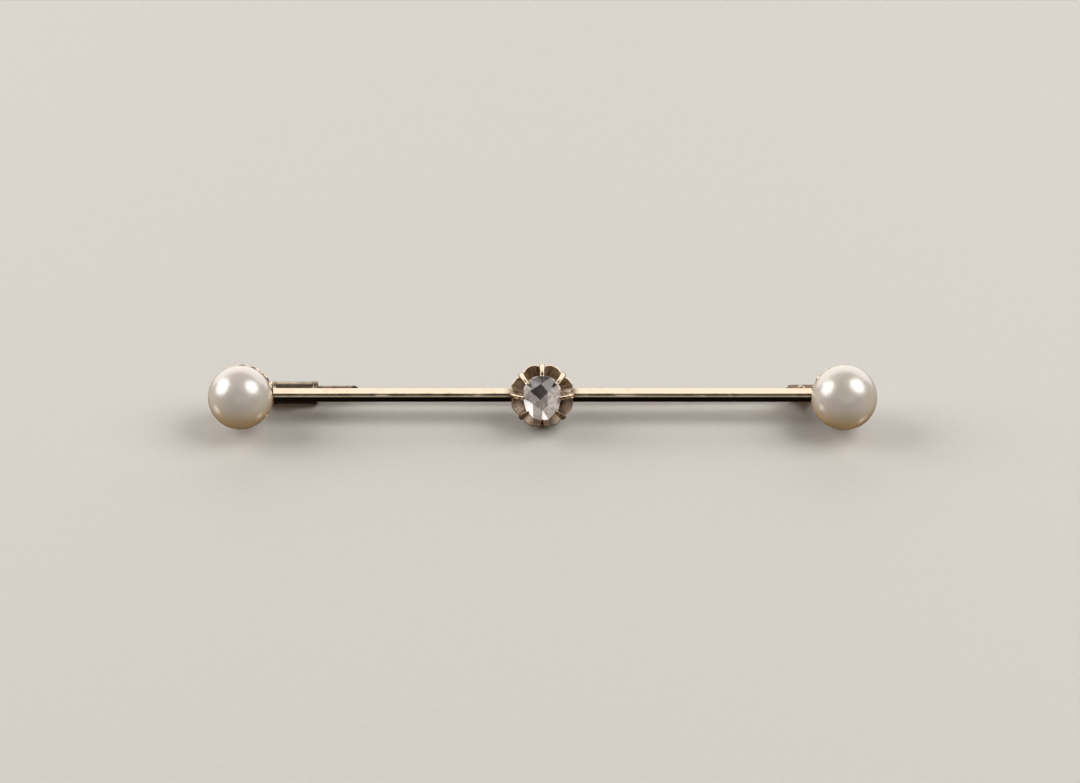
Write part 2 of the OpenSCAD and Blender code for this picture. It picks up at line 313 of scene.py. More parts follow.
def finishMetal(tree, shader, look, clean, patches, shadeAndDirt, bump):
    # the darkening mask, a (node, output), is painted shade with some dirt and tarnish: it darkens the clean
    # colour and dulls a gloss that varies in patches
    colour = addNode(tree, "Mix", {"data_type": "RGBA"}, {
        0: shadeAndDirt, 6: (clean, 2), 7: linearColour(look["corner"])})
    rough = addNode(tree, "MapRange", inputs={
        "Value": (patches, "Fac"), "From Min": look["patches"][0], "From Max": look["patches"][1],
        "To Min": look["roughness"][0], "To Max": look["roughness"][1]})
    dull = addNode(tree, "Math", {"operation": "MULTIPLY_ADD"}, {
        0: shadeAndDirt, 1: look["shadeAndDirtDulls"], 2: (rough, "Result")})
    tree.links.new(colour.outputs[2], shader.inputs["Base Color"])
    tree.links.new(dull.outputs["Value"], shader.inputs["Roughness"])
    tree.links.new(bump.outputs["Normal"], shader.inputs["Normal"])


# Polished gold of low carat, cast and hand finished: bright with fine polishing lines, and darker,
# duller metal in corners and where parts meet: painted shade there, with some old dirt that a cloth doesn't
# reach.
goldLook = {
    "colour": "#F0DBC2",
    "duller": "#C9A480",
    # colour of the painted shade in corners and where parts meet, with old dirt
    "corner": "#2A1A0E",
    "roughness": (0.07, 0.18),
    "patches": (0.3, 0.75),   # the part of the noise that the roughness runs over
    "shadeAndDirtDulls": 0.35,
    "lineWidth": 0.07,   # mm between polishing lines, coarser than real ones so that they show
    "smudge": 1.2,       # mm across
    "wave": 1.6,         # mm between the soft hollows that polishing by hand leaves in flat metal
}


def makeGold():
    material, tree, shader = newMaterial("polishedGold", {"Metallic": 1.0})
    place = addNode(tree, "TexCoord")
    across = 1000 / goldLook["lineWidth"] / 4
    alongBar = addNode(tree, "Mapping", inputs={
        "Vector": (place, "Object"), "Scale": (500, across, across)})
    lines = addNode(tree, "TexNoise", inputs={
        "Vector": (alongBar, "Vector"), "Scale": 1.0, "Detail": 2.0})
    smudges = addNode(tree, "TexNoise", inputs={
        "Vector": (place, "Object"), "Scale": 1000 / goldLook["smudge"], "Detail": 4.0, "Roughness": 0.6})
    # painted shade and old dirt, broken up unevenly as a cloth leaves it
    grime = addNode(tree, "Attribute", {"attribute_name": "grime"})
    breakUp = addNode(tree, "MapRange", inputs={
        "Value": (smudges, "Fac"), "From Min": 0.3, "From Max": 0.7, "To Min": 0.6, "To Max": 1.0})
    shadeAndDirt = addNode(tree, "Math", {"operation": "MULTIPLY"}, {
        0: (grime, "Fac"), 1: (breakUp, "Result")})
    faint = addNode(tree, "MapRange", inputs={
        "Value": (smudges, "Fac"), "From Min": 0.55, "From Max": 0.8, "To Max": 0.35})
    tint = addNode(tree, "Mix", {"data_type": "RGBA"}, {
        0: (faint, "Result"), 6: linearColour(goldLook["colour"]), 7: linearColour(goldLook["duller"])})
    hollows = addNode(tree, "TexNoise", inputs={
        "Vector": (place, "Object"), "Scale": 1000 / goldLook["wave"], "Detail": 1.0})
    waves = addNode(tree, "Bump", inputs={
        "Strength": 0.5, "Distance": 0.00003, "Height": (hollows, "Fac")})
    bump = addNode(tree, "Bump", inputs={
        "Strength": 0.25, "Distance": 0.000006, "Height": (lines, "Fac"), "Normal": (waves, "Normal")})
    finishMetal(tree, shader, goldLook, tint, smudges, (shadeAndDirt, "Value"), bump)
    return material


# The same gold cut with a graver inside the petals and left as cut: fine straight lines run down each flute
# and break its gloss, and its light and dark streaks of reflection are painted into its colour.
cutLook = {
    # colours of the painted light and dark streaks of reflection
    "light": "#F7EADA",
    "dark": "#C8AA90",
    # colour of the painted shade in the flutes' corners, with old dirt
    "corner": "#4A3424",
    "roughness": (0.17, 0.36),
    "patches": (0.35, 0.65),
    "shadeAndDirtDulls": 0.5,
    # broad streaks, then fine lines, coarser than real ones so that they show: mm across one at the
    # rim, how often it changes on its way down, and how ragged it is
    "cuts": ((0.16, 0.6, 0.6), (0.05, 1.2, 0.5)),
}


def makeCutGold():
    material, tree, shader = newMaterial("graverCutGold", {"Metallic": 1.0})
    # the flute attribute holds mm round the rim and mm from the middle
    flute = addNode(tree, "Attribute", {"attribute_name": "flute"})
    noises = []
    for width, changes, ragged in cutLook["cuts"]:
        stretched = addNode(tree, "Mapping", inputs={
            "Vector": (flute, "Vector"), "Scale": (0.5 / width, changes, 1)})
        noises.append(addNode(tree, "TexNoise", inputs={
            "Vector": (stretched, "Vector"), "Scale": 1.0, "Detail": 2.0, "Roughness": ragged}))
    broad, fine = noises
    band = addNode(tree, "MapRange", inputs={
        "Value": (broad, "Fac"), "From Min": 0.36, "From Max": 0.62})
    thin = addNode(tree, "MapRange", inputs={
        "Value": (fine, "Fac"), "From Min": 0.3, "From Max": 0.7, "To Min": -0.25, "To Max": 0.25})
    both = addNode(tree, "Math", {"operation": "ADD", "use_clamp": True}, {
        0: (band, "Result"), 1: (thin, "Result")})
    # painted reflection: the colour runs between dark and light streaks down the flutes
    cut = addNode(tree, "Mix", {"data_type": "RGBA"}, {
        0: (both, "Value"), 6: linearColour(cutLook["dark"]), 7: linearColour(cutLook["light"])})
    grime = addNode(tree, "Attribute", {"attribute_name": "grime"})
    bump = addNode(tree, "Bump", inputs={
        "Strength": 0.5, "Distance": 0.000012, "Height": (fine, "Fac")})
    finishMetal(tree, shader, cutLook, cut, broad, (grime, "Fac"), bump)
    return material


# Cultured pearl: thin layers of nacre over a bead. It has a creamy body, a soft deep gloss and faint
# rosy and green clouds.
pearlLook = {
    "body": "#E4DBCD",
    "rosy": "#E6D7CF",
    "green": "#D6D1BC",
    "shade": "#DDB268",  # painted golden shade and reflection on the side that lies low
    "shadeHeights": (2.2, 4.8),   # mm above the table between which that tone fades away
    "cloud": 2.5,        # mm across one patch of tone
    "ripple": 0.35,      # mm between the faint rings that nacre grows in
    "surface": {
        "Roughness": 0.42, "IOR": 2.0, "Specular IOR Level": 0.9,
        "Subsurface Weight": 0.12, "Subsurface Scale": 0.0006, "Subsurface Radius": (1.0, 0.8, 0.6),
        "Coat Weight": 1.0, "Coat Roughness": 0.23, "Coat IOR": 2.1,
    },
}


def makeNacre():
    material, tree, shader = newMaterial("pearlNacre", pearlLook["surface"])
    place = addNode(tree, "TexCoord")
    clouds = addNode(tree, "TexNoise", inputs={
        "Vector": (place, "Object"), "Scale": 1000 / pearlLook["cloud"], "Detail": 2.0})
    ramp = addNode(tree, "ValToRGB", inputs={"Fac": (clouds, "Fac")})
    stops = ramp.color_ramp.elements
    stops[0].position, stops[0].color = 0.3, linearColour(pearlLook["green"])
    stops[1].position, stops[1].color = 0.72, linearColour(pearlLook["rosy"])
    stops.new(0.5).color = linearColour(pearlLook["body"])
    growth = addNode(tree, "Mapping", inputs={
        "Vector": (place, "Object"), "Scale": (1000, 2500, 1000)})
    rings = addNode(tree, "TexNoise", inputs={
        "Vector": (growth, "Vector"), "Scale": 0.35 / pearlLook["ripple"], "Detail": 3.0})
    bump = addNode(tree, "Bump", inputs={
        "Strength": 0.3, "Distance": 0.000012, "Height": (rings, "Fac")})
    # painted golden shade and reflection on the low side of each pearl, fading out upwards
    height = addNode(tree, "SeparateXYZ", inputs={"Vector": (place, "Object")})
    deepest, fadedOut = pearlLook["shadeHeights"]
    low = addNode(tree, "MapRange", {"interpolation_type": "SMOOTHSTEP"}, {
        "Value": (height, "Z"), "From Min": deepest / 1000, "From Max": fadedOut / 1000,
        "To Min": 0.9, "To Max": 0.0})
    colour = addNode(tree, "Mix", {"data_type": "RGBA"}, {
        0: (low, "Result"), 6: (ramp, "Color"), 7: linearColour(pearlLook["shade"])})
    tree.links.new(colour.outputs[2], shader.inputs["Base Color"])
    tree.links.new(bump.outputs["Normal"], shader.inputs["Normal"])
    return material


# Rose-cut diamond: clear and hard, with flat polished facets. The light or dark that each facet throws back
# from inside the stone is painted into its colour, a painted tone for each facet, and light is bent less
# than a diamond bends it.
diamondLook = {
    # colours of the painted tones, from the lightest facet to the darkest
    "light": "#FFF5F0",
    "dark": "#1A1311",
    # painted reflections of the facets behind, broken up, broad ones and then fine ones: mm across one, the
    # part of its random colour that sets its tone, and how dark and how light that makes it
    "shards": ((0.3, "X", -0.22, 0.2), (0.1, "Y", -0.2, 0.24)),
    "surface": {"Roughness": 0.03, "IOR": 1.6, "Transmission Weight": 0.12, "Emission Strength": 1.0},
}


def makeDiamond():
    material, tree, shader = newMaterial("roseCutDiamond", diamondLook["surface"])
    place = addNode(tree, "TexCoord")
    slanted = addNode(tree, "Mapping", inputs={
        "Vector": (place, "Object"), "Rotation": (0.5, 0.6, 0.4), "Scale": (1000, 420, 1000)})
    broken = []
    for width, part, darkest, lightest in diamondLook["shards"]:
        shards = addNode(tree, "TexVoronoi", inputs={"Vector": (slanted, "Vector"), "Scale": 1 / width})
        split = addNode(tree, "SeparateXYZ", inputs={"Vector": (shards, "Color")})
        broken.append(addNode(tree, "MapRange", inputs={
            "Value": (split, part), "To Min": darkest, "To Max": lightest}))
    inside = addNode(tree, "Math", {"operation": "ADD"}, {
        0: (broken[0], "Result"), 1: (broken[1], "Result")})
    facet = addNode(tree, "Attribute", {"attribute_name": "facetPaintedTone"})
    mixed = addNode(tree, "Math", {"operation": "MULTIPLY_ADD", "use_clamp": True}, {
        0: (facet, "Fac"), 1: (inside, "Value"), 2: (facet, "Fac")})
    tone = addNode(tree, "Mix", {"data_type": "RGBA"}, {
        0: (mixed, "Value"), 6: linearColour(diamondLook["dark"]), 7: linearColour(diamondLook["light"])})
    tree.links.new(tone.outputs[2], shader.inputs["Base Color"])
    # a tone over 1 is a painted glint: the facet glows with painted light, as if from inside the stone
    paintedGlow = addNode(tree, "MapRange", inputs={
        "Value": (facet, "Fac"), "From Min": 1.0, "From Max": 2.0})
    tree.links.new(paintedGlow.outputs["Result"], shader.inputs["Emission Color"])
    return material


gold = makeGold()
cutGold = makeCutGold()
nacre = makeNacre()
diamond = makeDiamond()
print("materials made")


# the bar

bar = {
    # (height across the face, height in front of the middle line, corner radius), once round
    "section": [(-0.48, -0.48, 0.08), (0.48, -0.48, 0.08), (0.63, 0.12, 0.16), (0.2, 0.8045, 0),
                (0.14, 0.9, 0.09), (-0.13, 0.9, 0.045), (-0.63, 0.12, 0.14)],
    "from": 2.46,        # inside the coronet's wall
    "to": 25.9,          # inside the cup
    "step": 0.35,
    "handWork": 0.006,   # how far filing by hand has left it off true
    "front": 0.899,      # nothing stands out further than this
}


def buildBar(name, side):
    section = roundCorners(bar["section"])
    count = math.ceil((bar["to"] - bar["from"]) / bar["step"])
    off = bar["handWork"]
    verts = []
    for i in range(count + 1):
        x = side * (bar["from"] + (bar["to"] - bar["from"]) * i / count)
        for y, z in section:
            y += off * wobble(x * 0.35, 3.1, 0.8 * z) * (1 if y > 0 else -1)
            z += off * wobble(x * 0.4, y, 7.7) + 0.4 * off * wobble(x * 1.9, 5 * y, 2.2)
            verts.append((x, y, min(z, bar["front"])))
    columns = len(section)

    def grime(p):
        # painted shade where the bar runs into the cup and the coronet, and a little on its back
        toCup = smooth(25.1, 24.6, abs(p.x))
        toCoronet = smooth(2.75, 3.4, abs(p.x))
        # a painted dark reflection along the upper edge of the narrow flat, broken in places
        paintedDarkLine = smooth(0.04, 0.09, p.y) * smooth(0.185, 0.17, p.y) * (p.z > 0.82)
        paintedDarkLine *= smooth(-0.5, -0.2, wobble(p.x * 0.8, 4.2, 1.7))
        return min(1.0, 0.75 * (1 - toCup * toCoronet) + 0.12 * (p.z < -0.2) + 1.5 * paintedDarkLine)

    faces = gridFaces(count + 1, columns) + endCaps(count + 1, columns)
    addGoldPiece(name, verts, faces, sharpAngle=30, grime=grime)


buildBar("barLeft", -1)
buildBar("barRight", 1)
print("bar built")


# the coronet: an open ring with eight scooped petals

coronet = {
    "petals": 8,
    "petalOut": 1.76,
    "petalRadius": 1.14,
    "wall": 0.17,
    "rimHeight": 0.95,
    "rimWall": 0.045,     # the rim is filed thinner than the wall below it
    "chamfer": (0.06, 0.11),   # how far the outside of the rim slopes in, and over what height
    "ringRadius": 2.4,
    "ringTop": 0.05,
    "ringBack": -0.69,
    "holeRadius": 1.75,
    "fluteHalf": 14.5,    # a flute is part of a slanting cone: half the angle of its point
    "fluteStart": -0.26,
    "fluteFoot": -0.02,
    "columnsEach": 48,
    "graverMarks": (0.018, 0.006),   # depth of the wide and the fine cuts down a flute
    # how dark each petal is inside, from the right and up: partly tarnish, partly painted shade
    "patinaAndShade": [0, 0, 0.08, 0.05, 0.5, 0.45, 0.5, 0.7],
}


def petalReach(delta, height):
    # distance from the middle to a petal's rounded back
    c = coronet
    inside = c["petalRadius"] ** 2 - (height - c["rimHeight"]) ** 2 - (c["petalOut"] * math.sin(delta)) ** 2
    return c["petalOut"] * math.cos(delta) + math.sqrt(inside)


def fluteReach(delta, height):
    # distance from the middle to the cone that a petal's flute is cut to
    c = coronet
    run = c["petalOut"] + c["petalRadius"] - c["wall"] - c["holeRadius"]
    slope = math.atan2(run, c["rimHeight"] - c["fluteFoot"])
    half = math.radians(c["fluteHalf"])
    depth = (c["holeRadius"] - c["fluteStart"]) / math.tan(slope)
    point = Vector((c["fluteStart"], 0, c["fluteFoot"] - depth))
    axis = Vector((math.sin(slope - half), 0, math.cos(slope - half)))
    way = Vector((math.cos(delta), math.sin(delta), 0))
    start = Vector((0, 0, height)) - point
    k = math.cos(half) ** 2
    a = way.dot(axis) ** 2 - k
    b = way.dot(axis) * start.dot(axis) - k * way.dot(start)
    root = math.sqrt(b * b - a * (start.dot(axis) ** 2 - k * start.dot(start)))
    return max((-b + root) / a, (-b - root) / a)


def fluteFoot(delta):
    # height at which the flute meets the ring's hole
    low, high = coronet["fluteFoot"] - 0.05, coronet["rimHeight"] - 0.1
    for k in range(24):
        middle = (low + high) / 2
        low, high = (middle, high) if fluteReach(delta, middle) < coronet["holeRadius"] else (low, middle)
    return low


def buildCoronet():
    c = coronet
    hole, ringRadius, ringBack, ringTop = c["holeRadius"], c["ringRadius"], c["ringBack"], c["ringTop"]
    columns = c["petals"] * c["columnsEach"]
    outerRows, innerRows, rimRows = 14, 16, 6
    top = c["rimHeight"] - c["rimWall"] / 2
    slopeIn, slopeHeight = c["chamfer"]
    wide, fine = c["graverMarks"]
    upright = []
    for k in range(columns):
        theta = 2 * math.pi * k / columns
        petal = int(k / c["columnsEach"])
        delta = theta - (petal + 0.5) * 2 * math.pi / c["petals"]
        # up the ring
        points = [(hole, ringBack + 0.05), (hole + 0.05, ringBack), (ringRadius - 0.06, ringBack),
                  (ringRadius - 0.018, ringBack + 0.018), (ringRadius, ringBack + 0.06), (ringRadius, -0.3),
                  (ringRadius, ringTop - 0.05), (ringRadius - 0.015, ringTop - 0.015)]
        # up the petal's back
        across = math.sqrt(max(0, c["petalRadius"] ** 2 - (c["petalOut"] * math.sin(delta)) ** 2))
        low = max(ringTop, c["rimHeight"] - across + 0.01)
        start = petalReach(delta, low)
        points.append((min(ringRadius - 0.04, start + 0.02) if start < ringRadius else ringRadius, low))
        for i in range(1, outerRows + 1):
            z = low + (top - slopeHeight - low) * i / outerRows
            points.append((petalReach(delta, z), z))
        # over the rim
        outerTop = points[-1][0] - slopeIn
        points += [(outerTop + 0.85 * slopeIn, top - 0.78 * slopeHeight), (outerTop, top)]
        innerTop = outerTop - c["rimWall"]
        middle, half = (outerTop + innerTop) / 2, (outerTop - innerTop) / 2
        for i in range(1, rimRows):
            a = math.pi * i / rimRows
            points.append((middle + half * math.cos(a), top + c["rimWall"] / 2 * math.sin(a)))
        # down the flute to the hole
        foot = fluteFoot(delta)
        opened = innerTop - fluteReach(delta, top)
        for i in range(innerRows + 1):
            share = 1 - i / innerRows
            z = foot + (top - foot) * share
            mark = wide * wobble(delta * 11, petal * 3.7, share * 0.5)
            mark += fine * wobble(delta * 34, petal * 5.1, share * 0.9)
            mark *= smooth(0.39, 0.3, abs(delta)) * smooth(1.0, 0.9, share)
            points.append((max(hole, fluteReach(delta, z) + opened * share + mark), z))
        points.append((hole, ringBack + 0.3))
        upright.append([(r * math.cos(theta), r * math.sin(theta), z) for r, z in points])

    def grime(p):
        # painted shade low down inside the ring and in the notches by the claws, and each petal's darkening
        # inside: partly tarnish, partly painted shade
        radius, angle = math.hypot(p.x, p.y), math.degrees(math.atan2(p.y, p.x))
        nearClaw = abs((angle + 22.5) % 45 - 22.5) / 22.5
        low = smooth(0.6, 0.0, p.z) * smooth(2.5, 2.1, radius)
        notch = (1 - smooth(0.1, 0.45, nearClaw)) * smooth(0.97, 0.8, p.z)
        tarnishAndShade = c["patinaAndShade"][int(angle % 360 / 45) % c["petals"]] * (p.z < c["rimHeight"] - 0.02)
        return min(1.0, 0.3 * low + 0.15 * notch + tarnishAndShade)

    faces = gridFaces(len(upright[0]), columns, closed=True)
    piece = addGoldPiece("coronetPetals", byRow(upright), faces, sharpAngle=32, grime=grime)

    # the flutes get the graver's finish, from just inside the rim down to the ring's hole
    rim = c["petalOut"] + c["petalRadius"]
    flutes = []
    for v in piece.data.vertices:
        p = toFace @ v.co
        flutes += [math.atan2(p.y, p.x) * rim, math.hypot(p.x, p.y), 0.0]
    piece.data.attributes.new("flute", "FLOAT_VECTOR", "POINT").data.foreach_set("vector", flutes)
    piece.data.materials.append(cutGold)
    for face in piece.data.polygons:
        p = toFace @ face.center
        away = Vector((p.x, p.y, 0)).normalized()
        towards = (toFace.to_3x3() @ face.normal).normalized()
        if p.z > c["fluteFoot"] and p.z < c["rimHeight"] - 0.03 and away.dot(towards) < -0.2:
            face.material_index = 1


buildCoronet()
print("coronet built")


# the eight claws, each with a fine slit at its tip

stone = {
    "halfWidth": 1.7,
    "halfHeight": 2.03,
    "back": 3.2,
    "girdle": 0.1,
    "dome": 1.25,
    "gap": 0.03,      # between the stone and each claw
}


def edgeRadius(angle):
    return 1 / math.hypot(math.cos(angle) / stone["halfWidth"], math.sin(angle) / stone["halfHeight"])


def buildClaw(name, angle):
    seat = edgeRadius(angle) + stone["gap"]
    under, over = stone["back"] - stone["gap"], stone["back"] + stone["girdle"] + stone["gap"]
    # (outer side, inner side, width, slit depth), from the ring up to the tip
    stations = [
        ((2.33, -0.30), (2.13, -0.30), 0.40, 0),
        ((2.44, 0.05), (2.13, 0.00), 0.46, 0),
        ((2.60, 0.50), (2.13, 0.35), 0.50, 0),
        ((2.76, 0.82), (2.14, 0.70), 0.53, 0),
        ((2.87, 1.12), (2.14, 1.00), 0.55, 0),
        ((2.87, 1.48), (2.11, 1.35), 0.55, 0),
        ((2.78, 1.80), (2.07, 1.70), 0.53, 0),
        ((2.67, 2.12), (2.03, 2.00), 0.50, 0),
        ((2.56, 2.43), (1.99, 2.28), 0.48, 0),
        (((2.56 + seat + 0.3) / 2, 2.93), ((1.99 + seat - 0.16) / 2, 2.62), 0.44, 0.03),
        ((seat + 0.3, 3.38), (seat - 0.16, under - 0.22), 0.41, 0.13),
        ((seat + 0.25, 3.47), (seat - 0.16, under - 0.02), 0.40, 0.14),
        ((seat + 0.21, 3.54), (seat, under + 0.02), 0.39, 0.12),
        ((seat + 0.15, 3.62), (seat, over - 0.02), 0.38, 0.11),
        ((seat + 0.07, 3.71), (seat - 0.06, over + 0.09), 0.36, 0.10),
        ((seat - 0.03, 3.78), (seat - 0.13, over + 0.2), 0.33, 0.07),
        ((seat - 0.12, 3.83), (seat - 0.19, over + 0.3), 0.27, 0.04),
        ((seat - 0.17, 3.83), (seat - 0.215, over + 0.38), 0.16, 0.0),
        ((seat - 0.19, 3.81), (seat - 0.21, over + 0.43), 0.05, 0.0),
    ]
    # once round a rounded section: (across the width, from the outer side in, share of the slit's
    # depth), each from 0 to 1
    around = [(0.0, 0.0, 1), (0.17, 0.0, 0.8), (0.3, 0.0, 0.12), (0.5, 0.0, 0), (0.76, 0.06, 0),
              (0.94, 0.2, 0), (1.0, 0.45, 0), (0.98, 0.75, 0), (0.8, 0.95, 0), (0.4, 1.0, 0)]
    around += [(0.0, 1.0, 0)] + [(-a, b, s) for a, b, s in around[:0:-1]]
    turnX, turnY = math.cos(angle), math.sin(angle)
    verts = []
    for outer, inner, width, slit in stations:
        out, ins = Vector(outer), Vector(inner)
        for a, b, groove in around:
            spot = out.lerp(ins, b) + (ins - out).normalized() * slit * groove
            x, y = spot.x, a * width / 2
            verts.append((x * turnX - y * turnY, x * turnY + y * turnX, spot.y))

    def grime(p):
        # painted shade in the slit at the tip, low down, and on the inner side below the stone
        radius = math.hypot(p.x, p.y)
        side = abs(-p.x * turnY + p.y * turnX)
        slit = smooth(0.07, 0.03, side) * smooth(seat + 0.4, seat + 0.3, radius) * smooth(3.1, 3.25, p.z)
        low = smooth(1.1, 0.1, p.z) * 0.4
        inside = smooth(0.3, 0.0, radius - 2.1) * smooth(3.1, 2.8, p.z) * 0.5
        return min(1.0, slit + low + inside)

    faces = gridFaces(len(stations), len(around)) + endCaps(len(stations), len(around))
    addGoldPiece(name, verts, faces, sharpAngle=42, grime=grime)


for i in range(8):
    buildClaw("claw" + str(i + 1), i * math.pi / 4)
print("claws built")


# the stone, a hand-cut rose: facets up to an off-centre point over a flat back

stoneCut = {
    "point": (-0.16, -0.12),
    # the star's corners, clockwise from the top, and the edge's, every second one over a star facet
    "star": [(-0.09, 1.28), (0.52, 0.57), (0.50, -0.60), (0.05, -1.08), (-0.85, -0.48), (-1.07, 0.65)],
    "edge": [68, 42, 4, -36, -74, -92, -114, -145, 180, 150, 122, 94],
    "roundness": 1.7,
    # how light each facet is painted, as painted reflections from inside the stone, over 1 a painted glint:
    # first the star's, then those between the star and the edge, both clockwise
    "starTones": [0.08, 0.42, 0.5, 0.5, 0.52, 0.06],
    "edgeTones": [0.12, 0.12, 0.7, 0.95, 0.9, 1.02, 0.85, 1.6, 0.9,
                  1.0, 1.75, 1.4, 0.5, 0.72, 0.4, 0.18, 0.28, 0.12],
}


def buildStone():
    base = stone["back"] + stone["girdle"]
    point = stoneCut["point"] + (base + stone["dome"],)
    star = []
    for x, y in stoneCut["star"]:
        share = math.hypot(x, y) / edgeRadius(math.atan2(y, x))
        star.append((x, y, base + stone["dome"] * (1 - share ** stoneCut["roundness"])))
    top = []
    for degrees in stoneCut["edge"]:
        a = math.radians(degrees)
        top.append((edgeRadius(a) * math.cos(a), edgeRadius(a) * math.sin(a), base))
    low = [(x, y, stone["back"]) for x, y, z in top]
    verts = [point] + star + top + low
    # where the corners of the star, the edge and the back start
    s, t, n = 1, 1 + len(star), len(top)
    b = t + n
    # the first edge point lies over the first star facet, and so on round
    faces = [(0, s + (i + 1) % 6, s + i) for i in range(6)]
    for i in range(6):
        first, second = s + i, s + (i + 1) % 6
        over, beside = t + 2 * i, t + (2 * i + 1) % n
        faces += [(first, second, over), (second, beside, over), (second, t + (2 * i + 2) % n, beside)]
    faces += [(t + i, t + (i + 1) % n, b + (i + 1) % n, b + i) for i in range(n)]
    faces.append(tuple(b + i for i in range(n)))
    piece = addPiece("roseCutStone", verts, faces, diamond, "frame_body", "stone", "crystal", sharpAngle=1)
    # painted tones: each facet's reflection painted into its colour, 0.5 for the sides and the flat back
    tones = stoneCut["starTones"] + stoneCut["edgeTones"] + [0.5] * (n + 1)
    piece.data.attributes.new("facetPaintedTone", "FLOAT", "FACE").data.foreach_set("value", tones)


buildStone()
print("stone built")


# pearls and their fluted cups

pearls = {
    "out": 26.9,
    "lift": 2.85,
    "radius": {"Left": 2.86, "Right": 2.92},
    "unround": 0.012,     # mm that a pearl is out of round
    "dimple": 0.003,      # mm that its skin is uneven
}

cup = {
    "rim": 1.39,
    "lobes": 14,
    "crest": {"Left": 2.87, "Right": 2.83},
    "notch": 0.08,        # how far the rim dips between two lobes
    "chamfer": (0.07, 0.13),   # how far the rim is burnished in, and over what height
    "edge": 0.016,        # half the thickness of the burnished rim
    # (radius, height) of the plain cup that the lobes stand on
    "core": [(0.0, -0.6), (1.04, -0.6), (1.1, -0.59), (1.6, -0.4), (1.95, 0.1), (2.2, 0.7), (2.38, 1.39)],
    "heights": [-0.59, -0.53, -0.46, -0.4, -0.3, -0.2, -0.1, 0.0, 0.12, 0.25, 0.4, 0.55, 0.7, 0.85],
    "lobeOut": 1.6,
    "lobeFoot": (-0.1, 0.37),   # height and radius
    "columnsEach": 12,
    "pegRadius": 0.34,
}


def buildPearl(side, sign):
    radius = pearls["radius"][side]
    middle = Vector((sign * pearls["out"], 0, pearls["lift"]))
    bm = bmesh.new()
    bmesh.ops.create_icosphere(bm, subdivisions=6, radius=1.0)
    verts = []
    for v in bm.verts:
        n = v.co.normalized()
        off = pearls["unround"] * (0.5 + 0.5 * wobble(n.x * 1.1 + sign, n.y * 1.1, n.z * 1.1))
        off += pearls["dimple"] * abs(wobble(n.x * 5, n.y * 5, n.z * 5))
        verts.append(tuple(n * (radius - off) + middle))
    faces = [tuple(v.index for v in f.verts) for f in bm.faces]
    bm.free()
    addPiece("pearl" + side, verts, faces, nacre, "frame_body", "pearl_" + side.lower(), "pearl",
             sharpAngle=180)


def coreRadius(height):
    core = cup["core"]
    for (r0, z0), (r1, z1) in zip(core, core[1:]):
        if z0 <= height <= z1 and z1 > z0:
            return r0 + (r1 - r0) * (height - z0) / (z1 - z0)
    return core[-1][0]


